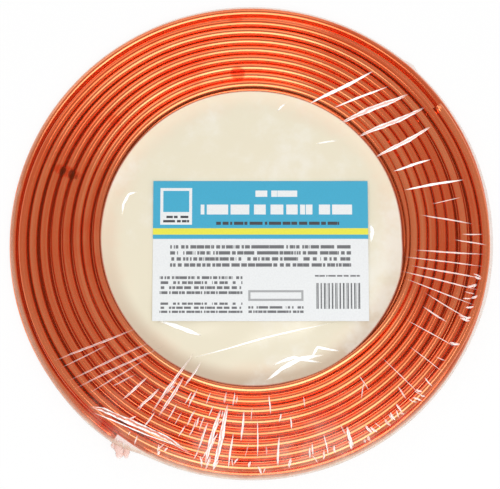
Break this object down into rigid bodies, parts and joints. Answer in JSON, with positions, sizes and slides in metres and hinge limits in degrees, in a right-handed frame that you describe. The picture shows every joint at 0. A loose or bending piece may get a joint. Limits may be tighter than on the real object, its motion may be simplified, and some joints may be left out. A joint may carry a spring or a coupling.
{
  "type": "copper tube coil",
  "caption": "Flat coil of soft copper tube wound in two layers, sealed in clear shrink film with a paper label over its bore.",
  "frame": {"origin": "on the coil's axis, on the underside of the shrink film, where the coil rests", "axes": "+Z along the coil's axis, up towards the labelled side; +Y towards the top of the label; +X to the right of the label as it is read"},
  "size_m": [0.3362, 0.3362, 0.0142],
  "materials": {
    "copper": "bright soft copper with darker drawing streaks and a few tarnish stains",
    "clear_film": "clear glossy shrink film, wrinkled",
    "label_paper": "smooth printed paper"
  },
  "bodies": {
    "root": {"copper_coil": "copper", "shrink_film": "clear_film", "label": "label_paper"}
  },
  "joints": []
}
